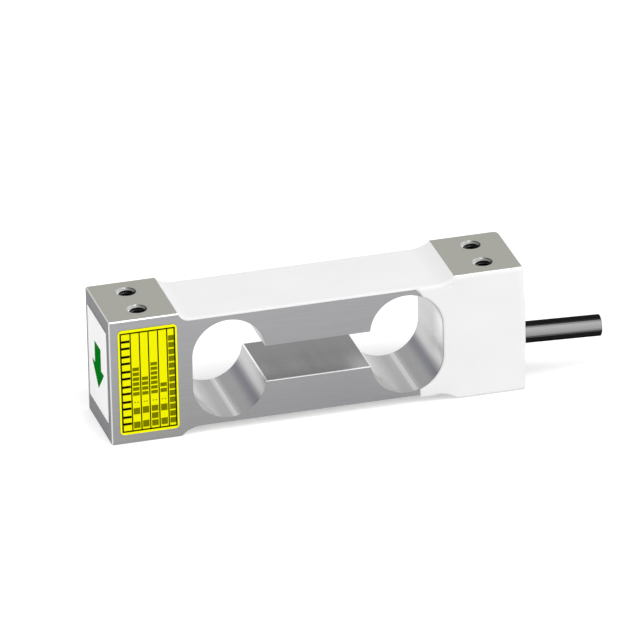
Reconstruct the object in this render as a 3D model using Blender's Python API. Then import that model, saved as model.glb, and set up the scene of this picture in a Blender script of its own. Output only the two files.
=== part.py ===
"""Single point load cell: a milled aluminium beam with a through cut-out, its gauges, board, sealant and cable.

+X runs from the free end, where the load sits, to the cable end, which is bolted down. -Y is the labelled
front. The origin is the middle of the cable end's seat, between its two tapped holes, on the underside.
"""

import math

import bmesh
import bpy
from mathutils import Vector

MM = 0.001

# Beam
BEAM_LENGTH = 70 * MM
BEAM_WIDTH = 15 * MM
BEAM_HEIGHT = 22 * MM
BLOCK_LENGTH = 11.65 * MM
EDGE_CHAMFER = 0.2 * MM
UPRIGHT_ROUNDING = 1 * MM
RECESS_DEPTH = 1.5 * MM
RECESS_FILLET_TOP = 2 * MM
RECESS_FILLET_BOTTOM = 4.8 * MM

# Through cut-out
OPENING_RADIUS = 6.15 * MM
OPENING_INSET = 20 * MM
FLEXURE = 0.8 * MM
SLOT_HEIGHT = 6.3 * MM

# Tapped M3 holes, bored to the thread's major diameter
THREAD_MAJOR = 3 * MM
COUNTERSINK = 3.4 * MM
HOLE_INSET = 5.8 * MM
HOLE_PITCH = 7 * MM
TAP_DEPTH = 4.8 * MM
DRILL_POINT = math.radians(118)

# Cable, from its place on the end face
CABLE_DIAMETER = 3.6 * MM
CABLE_STUB = 14 * MM
CABLE_HEIGHT = 8.3 * MM
CABLE_SETBACK = 4 * MM
CABLE_DROOP = math.radians(2.45)
CABLE_BEND = 3 * MM
CABLE_CLEARANCE = 0.1 * MM
JACKET_WALL = 0.5 * MM
SHIELD_WALL = 0.1 * MM
LAYER_GAP = 0.05 * MM
CORE_DIAMETER = 0.85 * MM
CORE_SPREAD = 0.48 * MM
CONDUCTOR_DIAMETER = 0.4 * MM
CONDUCTOR_GAP = 0.02 * MM
STRIP_FRONT = 2
STRIP_REAR = 0.25

# Board pocket in the front of the cable end
POCKET_WALL = 3 * MM
POCKET_LENGTH = 6.8 * MM
POCKET_HEIGHT = 8 * MM
POCKET_DEPTH = 6 * MM
POCKET_CORNER = 1 * MM
BOARD_MARGIN = 0.45 * MM
BOARD_THICKNESS = 0.8 * MM
CHIP_LENGTH = 2 * MM
CHIP_WIDTH = 1.2 * MM
CHIP_HEIGHT = 0.5 * MM
CHIP_GAP = 0.6 * MM

# Strain gauges and their leads
BOND = 0.03 * MM
GAUGE_LENGTH = 5.6 * MM
GAUGE_WIDTH = 3.2 * MM
GAUGE_THICKNESS = 0.08 * MM
LEAD_DIAMETER = 0.12 * MM
LEAD_PITCH = 0.3 * MM
LEAD_TAB_GAP = 0.1 * MM
LEAD_LANE = 2.2 * MM
LEAD_CROSSING = 2.3 * MM
LEAD_ENTRY = 1.6 * MM
LEAD_PAD_PITCH = 0.4 * MM

# Sealant
SEALANT_ON_RECESS = 0.38 * MM
SEALANT_ON_FRONT = 0.35 * MM
SEALANT_ON_END = 0.4 * MM
SEALANT_START = 3.97 * MM
SEALANT_RUN_FREE = 2.75 * MM
SEALANT_RUN_CABLE = 3.5 * MM
SEALANT_RUN_BELOW = 4.3 * MM
SEALANT_SETBACK = 0.05 * MM
SEALANT_SETBACK_BELOW = 0.3 * MM
SEALANT_MARGIN = 0.08 * MM
SEALANT_CORNER = 0.8 * MM
SEALANT_SHOULDER = 7
SEALANT_INSET_BELOW = 1 * MM
SEALANT_EDGE = 0.1 * MM
END_PATCH_BELOW = 2.2 * MM
END_PATCH_ABOVE = 9.6 * MM
END_PATCH_DEPTH = 8.8 * MM
END_PATCH_CORNER = 2 * MM
LEAD_ROOM = 0.21 * MM

# Labels
LABEL_THICKNESS = 0.1 * MM
LABEL_CORNER = 0.7 * MM
NAMEPLATE_LENGTH = 9.9 * MM
NAMEPLATE_HEIGHT = 18.6 * MM
NAMEPLATE_INSET = 1.45 * MM
ARROW_LABEL_WIDTH = 12 * MM
ARROW_LABEL_HEIGHT = 16 * MM
ARROW_LABEL_RISE = 0.45 * MM
ARROW_LABEL_CORNER = 0.15 * MM

# How round shapes are divided
OPENING_STEPS = 48
FILLET_STEPS = 6
CORNER_STEPS = 5
HOLE_SIDES = 32
CABLE_SIDES = 40
CORE_SIDES = 14
LEAD_SIDES = 6

SMOOTH_ANGLE = math.radians(30)

# How far a cutter runs on past the face that it opens
PAST = 0.8 * MM


def along(distance):
    """X of a point this far from the free end's face."""
    return distance - (BEAM_LENGTH - HOLE_INSET)


def behind(distance):
    """Y of a point this far behind the front face."""
    return distance - BEAM_WIDTH / 2


FREE_END = along(0)
CABLE_END = along(BEAM_LENGTH)
FREE_BLOCK = along(BLOCK_LENGTH)
CABLE_BLOCK = along(BEAM_LENGTH - BLOCK_LENGTH)
FREE_HOLES = along(HOLE_INSET)
FRONT = behind(0)
BACK = behind(BEAM_WIDTH)
MID_HEIGHT = BEAM_HEIGHT / 2
FLOOR_TOP = BEAM_HEIGHT - RECESS_DEPTH
OPENING_FREE = along(OPENING_INSET)
OPENING_CABLE = along(BEAM_LENGTH - OPENING_INSET)
OPENING_STRAIGHT = MID_HEIGHT - RECESS_DEPTH - FLEXURE - OPENING_RADIUS
BORE_DIAMETER = CABLE_DIAMETER + 2 * CABLE_CLEARANCE
POCKET_LEFT = OPENING_CABLE + OPENING_RADIUS + POCKET_WALL
POCKET_RIGHT = POCKET_LEFT + POCKET_LENGTH
POCKET_BOTTOM = CABLE_HEIGHT - BORE_DIAMETER / 2
POCKET_TOP = POCKET_BOTTOM + POCKET_HEIGHT
CABLE_Y = behind(CABLE_SETBACK)
BOARD_FACE = behind(POCKET_DEPTH - BOND - BOARD_THICKNESS)
SEALANT_LEFT = OPENING_CABLE + OPENING_RADIUS - SEALANT_START
BRIDGE_END = SEALANT_LEFT + LEAD_CROSSING + LEAD_PITCH
GAUGE_Y = behind(BEAM_WIDTH / 2)


def clear_scene():
    for obj in list(bpy.data.objects):
        bpy.data.objects.remove(obj, do_unlink=True)


def material(name, colour, roughness, metallic=0.0):
    made = bpy.data.materials.new(name)
    made.use_nodes = True
    shader = made.node_tree.nodes["Principled BSDF"]
    shader.inputs["Base Color"].default_value = (*colour, 1)
    shader.inputs["Roughness"].default_value = roughness
    shader.inputs["Metallic"].default_value = metallic
    made.diffuse_color = (*colour, 1)
    return made


def finish(name, bm, surface=None, cutter=False):
    """The closed mesh as an object of its own, facing out. A cutter is shown as wires and left out of renders."""
    bmesh.ops.recalc_face_normals(bm, faces=bm.faces)
    mesh = bpy.data.meshes.new(name)
    bm.to_mesh(mesh)
    bm.free()
    mesh.shade_smooth()
    mesh.set_sharp_from_angle(angle=SMOOTH_ANGLE)
    obj = bpy.data.objects.new(name, mesh)
    bpy.context.scene.collection.objects.link(obj)
    if surface is not None:
        mesh.materials.append(surface)
    if cutter:
        obj.hide_render = True
        obj.display_type = "WIRE"
    return obj


def combine(obj, other, operation):
    modifier = obj.modifiers.new(other.name, "BOOLEAN")
    modifier.operation = operation
    modifier.object = other


def arc(centre, radius, start, end, steps):
    """Points on an arc in a flat outline, from one angle to another in degrees."""
    points = []
    for step in range(steps + 1):
        angle = math.radians(start + (end - start) * step / steps)
        points.append((centre[0] + radius * math.cos(angle), centre[1] + radius * math.sin(angle)))
    return points


def rounded_rectangle(low, high, corner):
    """The outline of a rectangle with round corners, from its low and high corners."""
    points = []
    points += arc((high[0] - corner, high[1] - corner), corner, 0, 90, CORNER_STEPS)
    points += arc((low[0] + corner, high[1] - corner), corner, 90, 180, CORNER_STEPS)
    points += arc((low[0] + corner, low[1] + corner), corner, 180, 270, CORNER_STEPS)
    points += arc((high[0] - corner, low[1] + corner), corner, 270, 360, CORNER_STEPS)
    return points


PLACE = {
    "X": lambda u, v, depth: (depth, u, v),
    "Y": lambda u, v, depth: (u, depth, v),
    "Z": lambda u, v, depth: (u, v, depth),
}


def prism(outline, axis, low, high):
    """The outline extruded along an axis: it is drawn in the two other axes, in their order."""
    bm = bmesh.new()
    place = PLACE[axis]
    ends = [[bm.verts.new(place(u, v, depth)) for u, v in outline] for depth in (low, high)]
    for end in ends:
        bm.faces.new(end)
    for index in range(len(outline)):
        after = (index + 1) % len(outline)
        bm.faces.new((ends[0][index], ends[0][after], ends[1][after], ends[1][index]))
    return bm


def box(low, high):
    outline = [(low[0], low[2]), (high[0], low[2]), (high[0], high[2]), (low[0], high[2])]
    return prism(outline, "Y", low[1], high[1])


def add_turned(bm, profile, centre, up):
    """A closed solid turned from (radius, height) points about a vertical axis; its first and last are on the axis."""
    rings = []
    for radius, height in profile:
        z = centre[2] + up * height
        if radius == 0:
            rings.append([bm.verts.new((centre[0], centre[1], z))])
            continue
        circle = arc(centre[:2], radius, 0, 360, HOLE_SIDES)[:-1]
        rings.append([bm.verts.new((x, y, z)) for x, y in circle])
    for first, second in zip(rings, rings[1:]):
        for side in range(HOLE_SIDES):
            after = (side + 1) % HOLE_SIDES
            corners = [first[side % len(first)], first[after % len(first)]]
            corners += [second[after % len(second)], second[side % len(second)]]
            bm.faces.new(list(dict.fromkeys(corners)))


def swept(path, outer, inner, sides):
    """A tube along a path, or a rod where inner is 0, with each ring in the plane that halves the bend."""
    bm = bmesh.new()
    points = [Vector(point) for point in path]
    runs = [(after - before).normalized() for before, after in zip(points, points[1:])]
    across = runs[0].orthogonal().normalized()
    radii = [outer, inner] if inner else [outer]
    rings = {radius: [] for radius in radii}
    for index, point in enumerate(points):
        before = runs[max(index - 1, 0)]
        after = runs[min(index, len(runs) - 1)]
        if index:
            across = runs[max(index - 2, 0)].rotation_difference(before) @ across
        halfway = (before + after).normalized()
        up = before.cross(across)
        for radius in radii:
            ring = []
            for side in range(sides):
                angle = math.tau * side / sides
                spoke = radius * (math.cos(angle) * across + math.sin(angle) * up)
                ring.append(bm.verts.new(point + spoke - before * spoke.dot(halfway) / before.dot(halfway)))
            rings[radius].append(ring)
    for radius in radii:
        for first, second in zip(rings[radius], rings[radius][1:]):
            for side in range(sides):
                after = (side + 1) % sides
                bm.faces.new((first[side], first[after], second[after], second[side]))
    for end in (0, -1):
        if not inner:
            bm.faces.new(rings[outer][end])
            continue
        for side in range(sides):
            after = (side + 1) % sides
            corners = (rings[outer][end][side], rings[outer][end][after])
            bm.faces.new((*corners, rings[inner][end][after], rings[inner][end][side]))
    return bm


def fillet_run(radius):
    """How far a recess fillet reaches along the beam before it meets the block's face."""
    return math.sqrt(radius**2 - (radius - RECESS_DEPTH) ** 2)


def recess_side(block, into, level, up, radius):
    """The fillet from a block's face down to the recess floor, as outline points from the face to the floor."""
    sweep = math.degrees(math.asin(fillet_run(radius) / radius))
    centre = (block + into * fillet_run(radius), level + up * radius)
    points = []
    for x, z in arc((0, 0), radius, sweep, 0, FILLET_STEPS):
        points.append((centre[0] - into * z, centre[1] - up * x))
    return points


def beam_outline():
    points = [(FREE_END, 0), (FREE_END, BEAM_HEIGHT)]
    points += recess_side(FREE_BLOCK, 1, FLOOR_TOP, 1, RECESS_FILLET_TOP)
    points += reversed(recess_side(CABLE_BLOCK, -1, FLOOR_TOP, 1, RECESS_FILLET_TOP))
    points += [(CABLE_END, BEAM_HEIGHT), (CABLE_END, 0)]
    points += recess_side(CABLE_BLOCK, -1, RECESS_DEPTH, -1, RECESS_FILLET_BOTTOM)
    points += reversed(recess_side(FREE_BLOCK, 1, RECESS_DEPTH, -1, RECESS_FILLET_BOTTOM))
    return points


def walls_shared(edge, walls):
    """How many of some (axis, place) planes an edge lies in."""
    first, second = (vert.co for vert in edge.verts)
    shared = 0
    for axis, place in walls:
        if abs(first[axis] - place) < MM / 100 and abs(second[axis] - place) < MM / 100:
            shared += 1
    return shared


def on_block_rim(edge):
    """Whether an edge lies on the beam's outer box, or round its rounded corner: the edges that are chamfered."""
    sides = ((0, FREE_END), (0, CABLE_END), (1, FRONT), (1, BACK))
    levels = ((2, 0), (2, BEAM_HEIGHT))
    reach = UPRIGHT_ROUNDING + MM / 100
    at_corner = all(vert.co.x > CABLE_END - reach and vert.co.y > BACK - reach for vert in edge.verts)
    on_level = walls_shared(edge, levels)
    return walls_shared(edge, sides) + on_level >= 2 or (at_corner and on_level == 1)


def cut_out_outline():
    """Two tall openings with half-round ends, joined by the slot, as one closed outline."""
    slot_rise = SLOT_HEIGHT / 2 - OPENING_STRAIGHT
    lip = math.degrees(math.asin(slot_rise / OPENING_RADIUS))
    upper = MID_HEIGHT + OPENING_STRAIGHT
    lower = MID_HEIGHT - OPENING_STRAIGHT
    points = arc((OPENING_CABLE, upper), OPENING_RADIUS, 0, 180 - lip, OPENING_STEPS)
    points += arc((OPENING_FREE, upper), OPENING_RADIUS, lip, 180, OPENING_STEPS)
    points += arc((OPENING_FREE, lower), OPENING_RADIUS, 180, 360 - lip, OPENING_STEPS)
    points += arc((OPENING_CABLE, lower), OPENING_RADIUS, 180 + lip, 360, OPENING_STEPS)
    return points


def hole_cutters():
    """The eight tapped holes: two in the top and two in the bottom of each end block."""
    bm = bmesh.new()
    above = PAST
    thread = THREAD_MAJOR / 2
    rim = COUNTERSINK / 2
    tip = thread / math.tan(DRILL_POINT / 2)
    profile = [(0, above), (rim + above, above), (thread, thread - rim)]
    profile += [(thread, -TAP_DEPTH), (0, -TAP_DEPTH - tip)]
    for x in (FREE_HOLES, 0):
        for y in (-HOLE_PITCH / 2, HOLE_PITCH / 2):
            add_turned(bm, profile, (x, y, BEAM_HEIGHT), 1)
            add_turned(bm, profile, (x, y, 0), -1)
    return finish("hole_cutters", bm, cutter=True)


def make_beam(surface):
    bm = prism(beam_outline(), "Y", FRONT, BACK)
    bmesh.ops.recalc_face_normals(bm, faces=bm.faces)
    upright = [edge for edge in bm.edges if walls_shared(edge, ((0, CABLE_END), (1, BACK))) == 2]
    bmesh.ops.bevel(bm, geom=upright, offset=UPRIGHT_ROUNDING, segments=CORNER_STEPS, profile=0.5, affect="EDGES")
    rim = [edge for edge in bm.edges if on_block_rim(edge)]
    bmesh.ops.bevel(bm, geom=rim, offset=EDGE_CHAMFER, segments=1, affect="EDGES", clamp_overlap=True)
    beam = finish("beam", bm, surface)
    cut_out = prism(cut_out_outline(), "Y", FRONT - PAST, BACK + PAST)
    pocket = rounded_rectangle((POCKET_LEFT, POCKET_BOTTOM), (POCKET_RIGHT, POCKET_TOP), POCKET_CORNER)
    bore = [(POCKET_RIGHT - PAST, CABLE_Y, CABLE_HEIGHT), (CABLE_END + PAST, CABLE_Y, CABLE_HEIGHT)]
    cutters = [
        finish("cut_out_cutter", cut_out, cutter=True),
        finish("pocket_cutter", prism(pocket, "Y", FRONT - PAST, behind(POCKET_DEPTH)), cutter=True),
        finish("cable_bore_cutter", swept(bore, BORE_DIAMETER / 2, 0, CABLE_SIDES), cutter=True),
        hole_cutters(),
    ]
    for cutter in cutters:
        combine(beam, cutter, "DIFFERENCE")
    return beam


def skin_climb(x, edge, into, run):
    """How far the sealant's skin has climbed at x, in its hollow curve up to a block's edge."""
    rise = RECESS_DEPTH - SEALANT_ON_RECESS
    radius = (run**2 + rise**2) / (2 * rise)
    reach = max(0.0, run - into * (x - edge))
    return radius - math.sqrt(radius**2 - reach**2)


def floor_climb(x, edge, into, radius):
    """How far the recess floor has climbed at x, in the fillet up to a block's edge."""
    reach = max(0.0, fillet_run(radius) - into * (x - edge))
    return radius - math.sqrt(radius**2 - reach**2)


def sealant_layer(x, fillet, run_free, run_cable):
    """The sealant's underside and skin at x, as heights over a recess floor."""
    under = BOND + floor_climb(x, FREE_BLOCK, 1, fillet) + floor_climb(x, CABLE_BLOCK, -1, fillet)
    skin = SEALANT_ON_RECESS + skin_climb(x, FREE_BLOCK, 1, run_free) + skin_climb(x, CABLE_BLOCK, -1, run_cable)
    return under, skin


def climb_stations(edge, into, setback, fillet, run):
    """Where the sections lie in a block's fillet: from just short of its edge down to the flat floor."""
    start = edge + into * setback
    end = edge + into * max(fillet_run(fillet), run)
    return [start + (end - start) * step / FILLET_STEPS for step in range(FILLET_STEPS + 1)]


def recess_sealant(sections):
    """The sealant laid in one recess, lofted through (x, near side, far side, one height, other height)."""
    bm = bmesh.new()
    loops = []
    for x, near, far, under, skin in sections:
        corners = ((near, under), (far, under), (far, skin), (near, skin))
        loops.append([bm.verts.new((x, y, z)) for y, z in corners])
    for first, second in zip(loops, loops[1:]):
        for corner in range(4):
            after = (corner + 1) % 4
            bm.faces.new((first[corner], first[after], second[after], second[corner]))
    bm.faces.new(loops[0])
    bm.faces.new(loops[-1])
    return bm


def top_layer(x):
    under, skin = sealant_layer(x, RECESS_FILLET_TOP, SEALANT_RUN_FREE, SEALANT_RUN_CABLE)
    return FLOOR_TOP + under, FLOOR_TOP + skin


def top_stations():
    """The places of the sections in the top recess, at the free block and at the cable block."""
    free = climb_stations(FREE_BLOCK, 1, SEALANT_SETBACK, RECESS_FILLET_TOP, SEALANT_RUN_FREE)
    cable = climb_stations(CABLE_BLOCK, -1, SEALANT_SETBACK, RECESS_FILLET_TOP, SEALANT_RUN_CABLE)
    return free, cable


def top_sealant():
    """Over the whole top recess; from the front sealant's left edge on, it also hangs over the front edge."""
    free, cable = top_stations()
    step = SEALANT_SETBACK
    sections = [(x, FRONT, BACK, *top_layer(x)) for x in [*free, SEALANT_LEFT - step]]
    overhang = FRONT - SEALANT_ON_FRONT
    sections += [(x, overhang, BACK, *top_layer(x)) for x in [SEALANT_LEFT, *reversed(cable)]]
    return recess_sealant(sections)


def bottom_sealant():
    """Over the bottom recess, set in from the beam's sides."""
    stations = climb_stations(FREE_BLOCK, 1, SEALANT_SETBACK_BELOW, RECESS_FILLET_BOTTOM, SEALANT_RUN_BELOW)
    stations += reversed(
        climb_stations(CABLE_BLOCK, -1, SEALANT_SETBACK_BELOW, RECESS_FILLET_BOTTOM, SEALANT_RUN_BELOW)
    )
    near = FRONT + SEALANT_INSET_BELOW
    far = BACK - SEALANT_INSET_BELOW
    sections = []
    for x in stations:
        under, skin = sealant_layer(x, RECESS_FILLET_BOTTOM, SEALANT_RUN_BELOW, SEALANT_RUN_BELOW)
        sections.append((x, near, far, RECESS_DEPTH - under, RECESS_DEPTH - skin))
    return recess_sealant(sections)


def side_outline():
    """The sealant on the front of the cable end, round the opening's rim and out over the end face."""
    rim = OPENING_RADIUS + SEALANT_MARGIN
    upper = (OPENING_CABLE, MID_HEIGHT + OPENING_STRAIGHT)
    lower = (OPENING_CABLE, MID_HEIGHT - OPENING_STRAIGHT)
    top = BEAM_HEIGHT - EDGE_CHAMFER
    join = SEALANT_LEFT + SEALANT_MARGIN
    tangent = math.degrees(math.acos((join - OPENING_CABLE) / rim))
    shoulder = tangent - SEALANT_SHOULDER
    points = [(SEALANT_LEFT, sum(top_layer(SEALANT_LEFT)) / 2)]
    points += arc(upper, rim, shoulder, 0, OPENING_STEPS // 2)
    points += arc(lower, rim, 0, -tangent, OPENING_STEPS // 2)
    points += [(SEALANT_LEFT, lower[1] - rim * math.sin(math.radians(tangent)))]
    hem = RECESS_DEPTH - SEALANT_ON_RECESS / 2
    points += [(SEALANT_LEFT, hem), (BRIDGE_END, hem), (BRIDGE_END, RECESS_DEPTH)]
    fillet = recess_side(CABLE_BLOCK, -1, RECESS_DEPTH, -1, RECESS_FILLET_BOTTOM)[1:]
    points += [point for point in reversed(fillet) if point[0] > BRIDGE_END]
    points += [(CABLE_BLOCK, SEALANT_EDGE)]
    corner = (CABLE_END - SEALANT_CORNER, SEALANT_EDGE + SEALANT_CORNER)
    points += arc(corner, SEALANT_CORNER, -90, 0, CORNER_STEPS)
    low = CABLE_HEIGHT - END_PATCH_BELOW
    high = CABLE_HEIGHT + END_PATCH_ABOVE
    swell = CABLE_END + SEALANT_ON_END - BOND
    points += [(CABLE_END, low), (swell, low + SEALANT_CORNER)]
    points += [(swell, high - SEALANT_CORNER), (CABLE_END, high), (CABLE_END, top)]
    points += [(CABLE_BLOCK, top)]
    points += [(x, sum(top_layer(x)) / 2) for x in top_stations()[1]]
    return points


def lead_rooms():
    """The hollows that gauges and leads fill under the sealant: on each floor and over its edge, then on the front."""
    rooms = []
    crossing = SEALANT_LEFT + LEAD_PITCH
    left = OPENING_FREE - GAUGE_LENGTH / 2 - LEAD_PITCH
    right = SEALANT_LEFT + LEAD_CROSSING
    edge = FRONT - LEAD_ROOM
    near = behind(LEAD_LANE - LEAD_PITCH)
    far = GAUGE_Y + GAUGE_WIDTH / 2 + LEAD_PITCH
    floor = [(left, near), (crossing, near), (crossing, edge), (right, edge), (right, far), (left, far)]
    slant = LEAD_ROOM - BOND
    for up, level in ((1, FLOOR_TOP), (-1, RECESS_DEPTH)):
        rooms.append(prism(floor, "Z", *sorted((level, level + up * LEAD_ROOM))))
        entry = POCKET_LEFT + LEAD_PITCH
        outline = [(crossing + BOND, level + up * slant), (right - BOND, level + up * slant)]
        outline += [(entry, lead_entry(up, 3) + up * LEAD_PITCH), (entry, lead_entry(up, 0) - up * LEAD_PITCH)]
        outline += [(POCKET_LEFT - LEAD_PITCH, lead_entry(up, 0) - up * LEAD_PITCH)]
        outline += [(crossing + BOND, level - up * LEAD_PITCH)]
        rooms.append(prism(outline, "Y", FRONT - slant, FRONT + BOND))
    return rooms


def make_sealant(surface):
    """One cured mass. Its parts overlap where they join, each face a little in from its neighbour's."""
    front = prism(side_outline(), "Y", FRONT - SEALANT_ON_FRONT, FRONT - BOND)
    sealant = finish("sealant", front, surface)
    near = FRONT - SEALANT_ON_FRONT + BOND
    bridge = box(
        (SEALANT_LEFT + BOND, near, RECESS_DEPTH - SEALANT_ON_RECESS + BOND),
        (BRIDGE_END - BOND, FRONT + SEALANT_INSET_BELOW + LEAD_PITCH, RECESS_DEPTH - 2 * BOND),
    )
    patch = rounded_rectangle(
        (near, CABLE_HEIGHT - END_PATCH_BELOW),
        (behind(END_PATCH_DEPTH), CABLE_HEIGHT + END_PATCH_ABOVE),
        END_PATCH_CORNER,
    )
    parts = {
        "sealant_top_part": top_sealant(),
        "sealant_bottom_part": bottom_sealant(),
        "sealant_bridge_part": bridge,
        "sealant_end_part": prism(patch, "X", CABLE_END + BOND, CABLE_END + SEALANT_ON_END),
    }
    for name, part in parts.items():
        combine(sealant, finish(name, part, cutter=True), "UNION")
    for number, room in enumerate(lead_rooms()):
        combine(sealant, finish(f"lead_room_cutter_{number}", room, cutter=True), "DIFFERENCE")
    beside = [(CABLE_END - PAST, CABLE_Y, CABLE_HEIGHT), (CABLE_END + PAST, CABLE_Y, CABLE_HEIGHT)]
    hole = swept(beside, BORE_DIAMETER / 2, 0, CABLE_SIDES)
    combine(sealant, finish("sealant_cable_cutter", hole, cutter=True), "DIFFERENCE")
    return sealant


def make_gauges(surface):
    for end, x in (("free", OPENING_FREE), ("cable", OPENING_CABLE)):
        for side, level, up in (("top", FLOOR_TOP, 1), ("bottom", RECESS_DEPTH, -1)):
            near, far = sorted((level + up * BOND, level + up * (BOND + GAUGE_THICKNESS)))
            low = (x - GAUGE_LENGTH / 2, GAUGE_Y - GAUGE_WIDTH / 2)
            high = (x + GAUGE_LENGTH / 2, GAUGE_Y + GAUGE_WIDTH / 2)
            outline = rounded_rectangle(low, high, LEAD_PITCH)
            finish(f"strain_gauge_{side}_{end}", prism(outline, "Z", near, far), surface)


def lead_entry(up, number):
    """The height at which a lead goes over the pocket's left edge; they keep their order as they fan out."""
    if up > 0:
        return POCKET_TOP - LEAD_ENTRY + LEAD_PITCH * number
    return POCKET_BOTTOM + LEAD_ENTRY - LEAD_PITCH * number


def lead_path(gauge, level, up, number):
    """From a gauge's tab, along the floor, over the beam's front edge, into the pocket and down to the board."""
    lift = BOND + LEAD_DIAMETER / 2 + BOND / 3
    floor = level + up * lift
    start = gauge + GAUGE_LENGTH / 2 + LEAD_TAB_GAP
    side = GAUGE_Y + LEAD_PITCH * (2 * (number % 2) - 1)
    lane = behind(LEAD_LANE + LEAD_PITCH * number) if gauge == OPENING_FREE else side
    crossing = SEALANT_LEFT + LEAD_PITCH * (number + 3)
    turn = LEAD_PITCH / 2
    path = [(start, side, floor)]
    if gauge == OPENING_FREE:
        path += [(start + LEAD_PITCH, side, floor), (start + (side - lane), lane, floor)]
    path += [(crossing - turn, lane, floor), (crossing, lane - turn, floor)]
    path += [(crossing, FRONT + turn, floor), (crossing, FRONT, floor)]
    path += [(crossing, FRONT - lift * math.sqrt(0.5), level + up * lift * math.sqrt(0.5))]
    path += [(crossing, FRONT - lift, level), (crossing, FRONT - lift, level - up * turn)]
    entry = lead_entry(up, number)
    path += [(POCKET_LEFT, FRONT - lift, entry), (POCKET_LEFT + turn, FRONT - turn / 2, entry)]
    pad = POCKET_LEFT + LEAD_PAD_PITCH * (number + 3)
    depth = BOARD_FACE - lift * 2
    shift = entry - up * LEAD_PITCH
    path += [(POCKET_LEFT + 2 * turn, FRONT + turn, entry), (pad, (FRONT + BOARD_FACE) / 2, shift)]
    path += [(pad, depth, lead_entry(up, 0) - up * LEAD_PITCH)]
    return path


def make_leads(surface):
    for side, level, up in (("top", FLOOR_TOP, 1), ("bottom", RECESS_DEPTH, -1)):
        for end, gauge, first in (("free", OPENING_FREE, 0), ("cable", OPENING_CABLE, 2)):
            for offset, letter in enumerate("ab"):
                path = lead_path(gauge, level, up, first + offset)
                tube = swept(path, LEAD_DIAMETER / 2, 0, LEAD_SIDES)
                finish(f"gauge_lead_{side}_{end}_{letter}", tube, surface)


def make_board(surface, chip_surface):
    low = (POCKET_LEFT + BOARD_MARGIN, POCKET_BOTTOM + BOARD_MARGIN)
    high = (POCKET_RIGHT - BOARD_MARGIN, POCKET_TOP - BOARD_MARGIN)
    outline = rounded_rectangle(low, high, POCKET_CORNER - BOARD_MARGIN)
    finish("terminal_board", prism(outline, "Y", BOARD_FACE, BOARD_FACE + BOARD_THICKNESS), surface)
    right = high[0] - CHIP_GAP
    top = high[1] - CHIP_GAP
    for row, name in enumerate(("zero_balance_resistor", "span_resistor")):
        chip_top = top - row * (CHIP_WIDTH + CHIP_GAP)
        chip = box(
            (right - CHIP_LENGTH, BOARD_FACE - BOND - CHIP_HEIGHT, chip_top - CHIP_WIDTH),
            (right, BOARD_FACE - BOND, chip_top),
        )
        finish(name, chip, chip_surface)


def cable_path(start, spread_y=0.0, spread_z=0.0):
    """The cable's line from a place in its bore to its cut end; spread sets a core beside the middle."""
    path = [Vector((start, CABLE_Y, CABLE_HEIGHT)), Vector((CABLE_END, CABLE_Y, CABLE_HEIGHT))]
    slopes = [0.0, 0.0]
    bend_steps = 3
    for step in range(1, bend_steps + 1):
        slope = CABLE_DROOP * step / bend_steps
        run = CABLE_BEND / bend_steps
        path.append(path[-1] + Vector((math.cos(slope), 0, -math.sin(slope))) * run)
        slopes.append(slope)
    rest = CABLE_STUB - CABLE_BEND
    path.append(path[-1] + Vector((math.cos(CABLE_DROOP), 0, -math.sin(CABLE_DROOP))) * rest)
    slopes.append(CABLE_DROOP)
    beside = []
    for point, slope in zip(path, slopes):
        beside.append(point + Vector((math.sin(slope) * spread_z, spread_y, math.cos(slope) * spread_z)))
    return beside


def core_ends(y, z, to_front):
    """Inside the pocket: a core bends back to its pad on the board. The front pair goes past the rear pair."""
    strip = POCKET_RIGHT - CORE_DIAMETER
    bare = strip - CORE_DIAMETER * (STRIP_FRONT if to_front else STRIP_REAR)
    pad_y = BOARD_FACE - BOND - CONDUCTOR_DIAMETER / 2
    down = bare - (pad_y - y) * (1 if to_front else 2)
    return bare, [(down - CONDUCTOR_DIAMETER * 2, pad_y, z), (down, pad_y, z), (bare - CONDUCTOR_DIAMETER / 2, y, z)]


def make_cable(jacket_surface, shield_surface, copper, core_surfaces):
    inner = POCKET_RIGHT + LAYER_GAP
    jacket = CABLE_DIAMETER / 2
    shield = jacket - JACKET_WALL - LAYER_GAP
    finish("cable_jacket", swept(cable_path(inner), jacket, jacket - JACKET_WALL, CABLE_SIDES), jacket_surface)
    finish("cable_shield", swept(cable_path(inner), shield, shield - SHIELD_WALL, CABLE_SIDES), shield_surface)
    places = {"red": (-1, 1), "black": (1, 1), "green": (-1, -1), "white": (1, -1)}
    core = CORE_DIAMETER / 2
    conductor = CONDUCTOR_DIAMETER / 2
    for name, (rear, above) in places.items():
        y = rear * CORE_SPREAD
        z = above * CORE_SPREAD
        bare, ends = core_ends(CABLE_Y + y, CABLE_HEIGHT + z, rear < 0)
        tube = swept(cable_path(bare, y, z), core, conductor + CONDUCTOR_GAP, CORE_SIDES)
        finish(f"core_{name}", tube, core_surfaces[name])
        rod = swept(ends + cable_path(bare, y, z), conductor, 0, CORE_SIDES)
        finish(f"conductor_{name}", rod, copper)


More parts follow.
